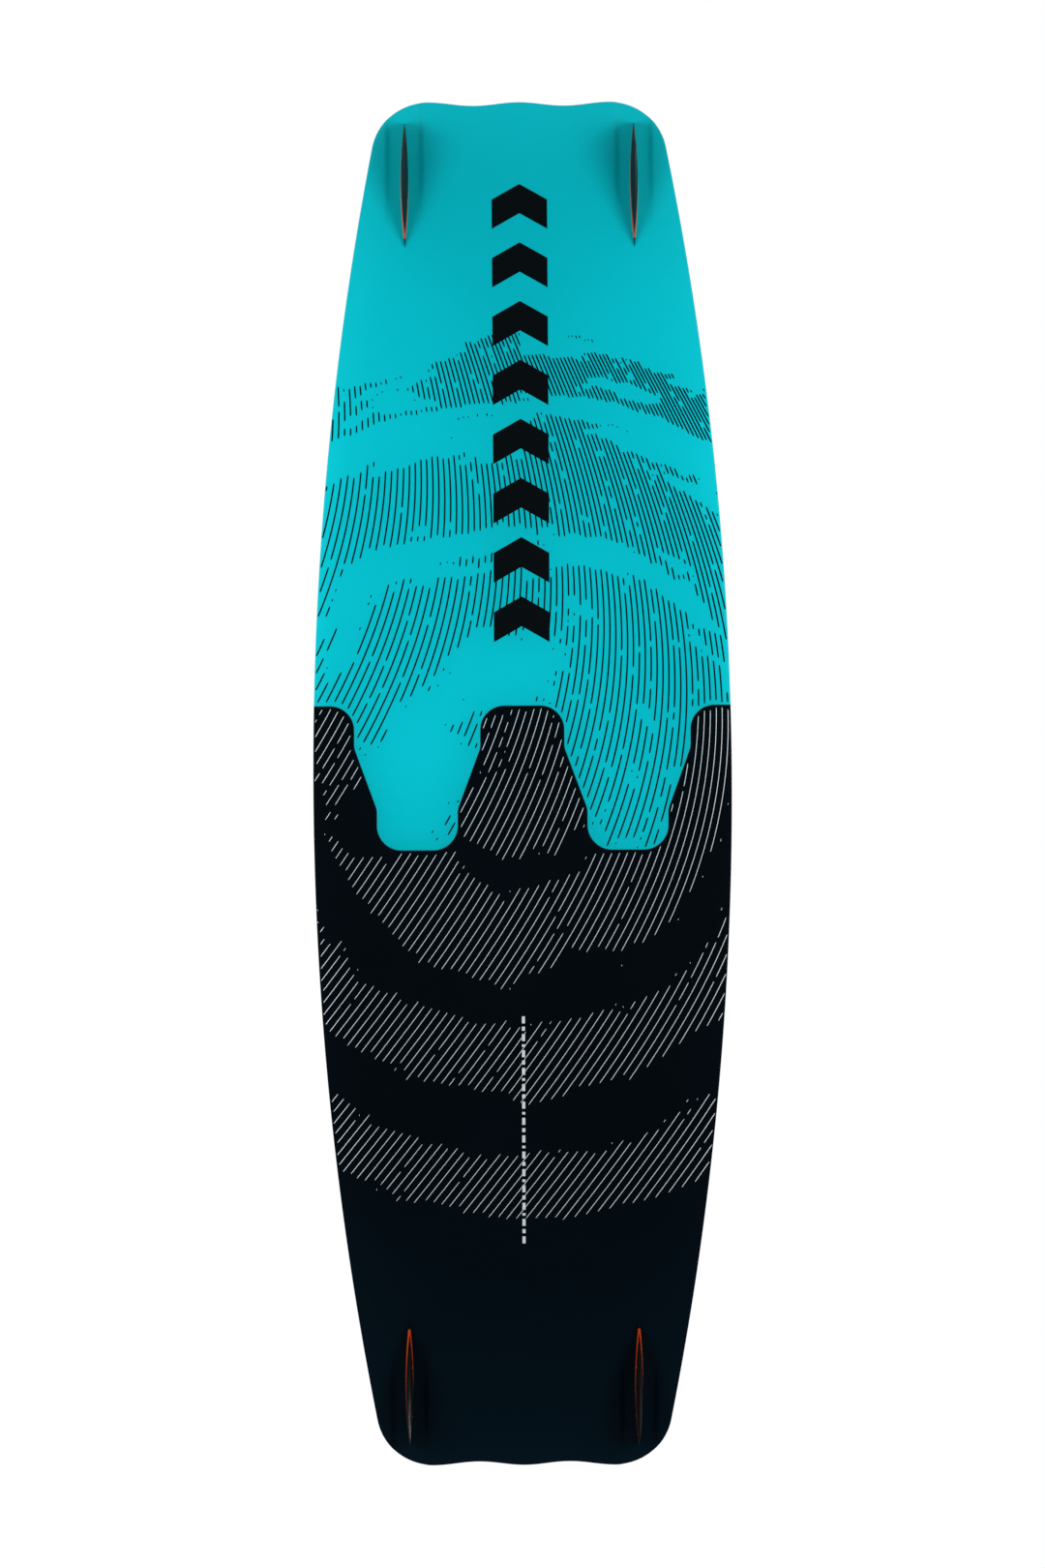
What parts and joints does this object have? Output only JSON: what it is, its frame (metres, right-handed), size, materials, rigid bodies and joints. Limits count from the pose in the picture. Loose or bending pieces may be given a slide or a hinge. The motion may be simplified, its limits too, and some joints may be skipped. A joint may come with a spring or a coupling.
{
  "type": "kiteboard",
  "caption": "Split twin-tip board: two halves on flat joiner bars with lock screws, fins, foot pads with straps and a grab handle.",
  "frame": {"origin": "middle of the board's plan, at the height of the fin tips that it stands on", "axes": "+Z out of the deck, +Y along the board towards the nose (teal) tip, +X across it"},
  "size_m": [0.42, 1.38, 0.1239],
  "materials": {
    "hull_teal": "satin lacquer over laminate, printed line graphic",
    "hull_black": "satin lacquer over laminate, printed line graphic",
    "deck_teal": "satin lacquer over laminate",
    "deck_black": "satin lacquer over laminate",
    "core_wood": "planed strips",
    "rail_plastic": "fine satin",
    "brass_insert": "turned",
    "steel_screw": "stainless, satin",
    "washer_steel": "stainless, satin",
    "fin_black": "ground glass-fibre laminate",
    "fin_orange": "ground glass-fibre laminate",
    "pad_plastic": "moulded, fine texture",
    "footbed_foam": "matte grooved foam",
    "strap_fabric": "padded knit",
    "webbing": "woven tape",
    "plate_plastic": "moulded, fine texture",
    "joiner_aluminium": "anodised",
    "socket_steel": "plain",
    "collar_aluminium": "orange anodised",
    "grip_foam": "matte foam"
  },
  "bodies": {
    "nose_half": {"nose_hull_skin": "hull_teal", "nose_core": "core_wood", "nose_rail": "rail_plastic", "nose_deck_skin": "deck_teal", "nose_pad_inserts": "brass_insert", "nose_fin_left_blade": "fin_black", "nose_fin_left_foot": "fin_orange", "nose_fin_right_blade": "fin_black", "nose_fin_right_foot": "fin_orange", "nose_fin_inserts": "brass_insert", "nose_fin_screws": "steel_screw", "nose_fin_washers": "washer_steel", "nose_pad_washers": "washer_steel", "nose_pad_screws": "steel_screw", "joiner_bar_left": "joiner_aluminium", "joiner_bar_right": "joiner_aluminium", "joiner_rivets": "steel_screw"},
    "tail_half": {"tail_hull_skin": "hull_black", "tail_core": "core_wood", "tail_rail": "rail_plastic", "tail_deck_skin": "deck_black", "tail_pad_inserts": "brass_insert", "tail_fin_left_blade": "fin_black", "tail_fin_left_foot": "fin_orange", "tail_fin_right_blade": "fin_black", "tail_fin_right_foot": "fin_orange", "tail_fin_inserts": "brass_insert", "tail_fin_screws": "steel_screw", "tail_fin_washers": "washer_steel", "tail_pad_washers": "washer_steel", "tail_pad_screws": "steel_screw", "socket_left": "socket_steel", "socket_right": "socket_steel", "lock_nut_plates": "steel_screw", "handle_webbing": "webbing", "handle_grip": "grip_foam", "handle_screws": "steel_screw", "handle_washers": "washer_steel", "handle_inserts": "brass_insert"},
    "nose_pad": {"nose_pad_base": "pad_plastic", "nose_footbed": "footbed_foam", "nose_strap": "strap_fabric", "nose_strap_webbing": "webbing", "nose_strap_plates": "plate_plastic", "nose_strap_screws": "steel_screw"},
    "tail_pad": {"tail_pad_base": "pad_plastic", "tail_footbed": "footbed_foam", "tail_strap": "strap_fabric", "tail_strap_webbing": "webbing", "tail_strap_plates": "plate_plastic", "tail_strap_screws": "steel_screw"},
    "lock_collar_left": {"lock_collar_left": "collar_aluminium"},
    "lock_screw_left": {"lock_screw_left": "steel_screw"},
    "lock_collar_right": {"lock_collar_right": "collar_aluminium"},
    "lock_screw_right": {"lock_screw_right": "steel_screw"}
  },
  "joints": [
    {"name": "split_slide", "type": "slide", "parent": "nose_half", "child": "tail_half", "axis": [0, -1, 0], "range_m": [0, 0.2]},
    {"name": "nose_pad_swivel", "type": "hinge", "parent": "nose_half", "child": "nose_pad", "pos_m": [0, 0.265, 0.04031], "axis": [0, 0, 1], "range_deg": [-9, 9]},
    {"name": "tail_pad_swivel", "type": "hinge", "parent": "tail_half", "child": "tail_pad", "pos_m": [0, -0.265, 0.04031], "axis": [0, 0, 1], "range_deg": [-9, 9]},
    {"name": "lock_collar_left_lift", "type": "slide", "parent": "tail_half", "child": "lock_collar_left", "axis": [0, 0, 1], "range_m": [0, 0.005]},
    {"name": "lock_screw_left_turn", "type": "hinge", "parent": "lock_collar_left", "child": "lock_screw_left", "pos_m": [-0.1057, -0.115, 0.02379], "axis": [0, 0, 1], "range_deg": [0, 1800]},
    {"name": "lock_collar_right_lift", "type": "slide", "parent": "tail_half", "child": "lock_collar_right", "axis": [0, 0, 1], "range_m": [0, 0.005]},
    {"name": "lock_screw_right_turn", "type": "hinge", "parent": "lock_collar_right", "child": "lock_screw_right", "pos_m": [0.1057, -0.115, 0.02379], "axis": [0, 0, 1], "range_deg": [0, 1800]}
  ],
  "couplings": [
    {"joint": "lock_screw_left_turn", "follows": "lock_collar_left_lift", "rad_per_m": 6283.1},
    {"joint": "lock_screw_right_turn", "follows": "lock_collar_right_lift", "rad_per_m": 6283.1}
  ]
}
